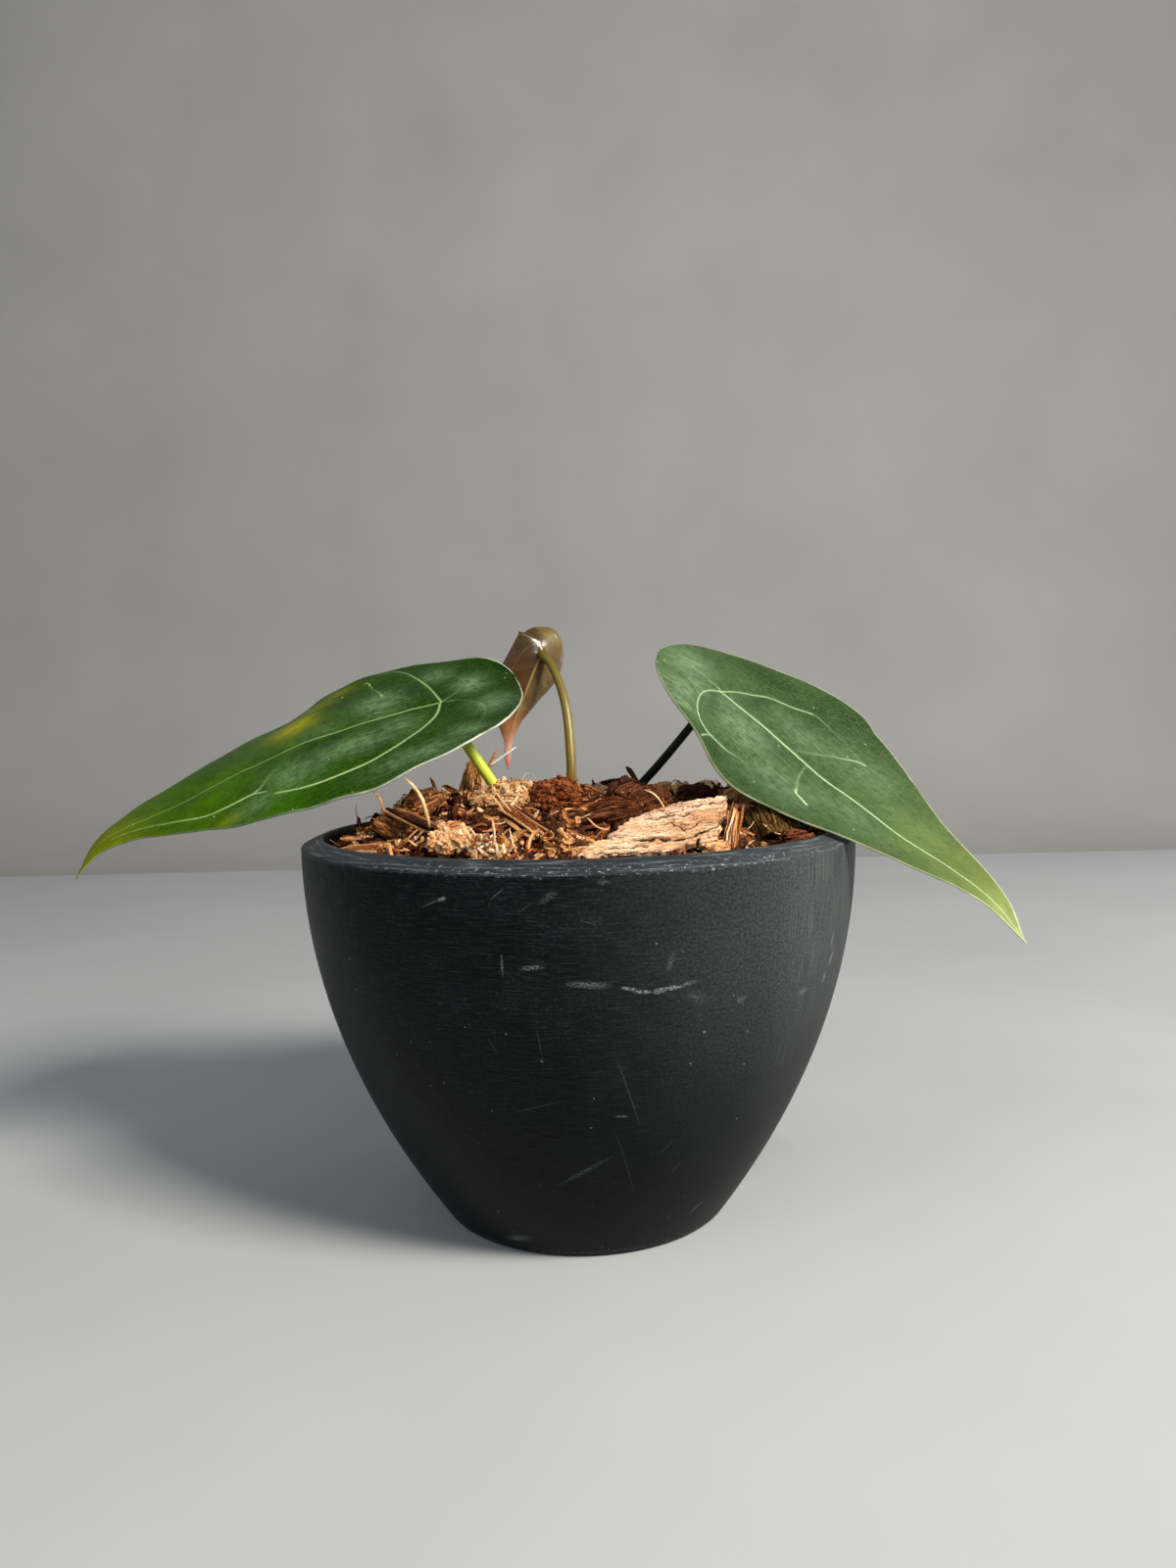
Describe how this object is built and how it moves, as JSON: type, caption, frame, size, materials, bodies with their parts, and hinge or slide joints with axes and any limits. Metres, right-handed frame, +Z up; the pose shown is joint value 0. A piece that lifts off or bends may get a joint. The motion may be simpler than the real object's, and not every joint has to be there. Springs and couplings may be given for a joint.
{
  "type": "potted anthurium forgetii",
  "caption": "Young anthurium with spreading teardrop leaves and a hanging new bronze leaf, in a tapered matte black pot filled with coconut husk and bark.",
  "frame": {"origin": "centre of the pot's flat foot, on the surface that it stands on", "axes": "+Z up along the pot's axis; +X runs along the spread of the two grown leaves, towards the leaf that hangs lower; -Y is the side that the big bark plate lies on"},
  "size_m": [0.2083, 0.13, 0.1402],
  "materials": {
    "pot_plastic": "matte black moulded plastic, brushed and scuffed",
    "husk_mix": "damp coconut husk crumb",
    "bark": "dry layered bark",
    "husk_orange": "dry fibrous coconut husk",
    "husk_red": "red-brown granular husk",
    "husk_dark": "dark damp husk",
    "husk_pale": "pale dry pith and splinters",
    "leaf_left": "waxy green leaf with pale veins",
    "leaf_right": "velvety grey-green leaf with pale veins",
    "leaf_new": "thin glossy bronze young leaf",
    "petiole_left": "smooth yellow-green leaf stalk",
    "petiole_right": "smooth dark olive leaf stalk",
    "petiole_new": "smooth olive-brown leaf stalk",
    "stem_and_root": "pale root skin"
  },
  "bodies": {
    "root": {"pot": "pot_plastic", "potting_mix": "husk_mix", "bark_plate_upper": "bark", "bark_plate_lower": "bark", "husk_clump_left": "husk_orange", "husk_block_red": "husk_red", "husk_round_dark": "husk_dark", "pith_clump": "husk_pale", "splinter_bundle": "husk_orange", "splinter_long": "husk_orange", "splinter_flat_left": "husk_pale", "husk_red_left": "husk_orange", "husk_dark_left": "husk_dark", "chip_upright": "husk_pale", "husk_dark_right": "husk_dark", "husk_fibrous_centre": "husk_orange", "husk_mid_right": "husk_red", "husk_back_dark": "husk_dark", "stick_orange": "husk_orange", "chip_right_high": "husk_pale", "husk_right_olive": "husk_dark", "chip_right_low": "husk_pale", "husk_rim_right": "husk_red", "splinter_rim_centre": "husk_orange", "husk_rim_left": "husk_pale", "husk_rim_far_left": "husk_orange", "husk_back_1": "husk_dark", "husk_back_2": "husk_orange", "husk_back_3": "husk_red", "husk_back_4": "husk_pale", "husk_back_5": "husk_dark", "husk_back_6": "husk_orange", "husk_back_7": "husk_red", "husk_back_8": "husk_pale", "husk_back_9": "husk_dark", "husk_back_10": "husk_orange", "husk_back_11": "husk_red", "husk_back_12": "husk_pale", "husk_back_13": "husk_dark", "leaf_blade_left": "leaf_left", "leaf_blade_right": "leaf_right", "leaf_blade_new": "leaf_new", "petiole_left": "petiole_left", "petiole_right": "petiole_right", "petiole_new": "petiole_new", "crown_with_roots": "stem_and_root"}
  },
  "joints": []
}
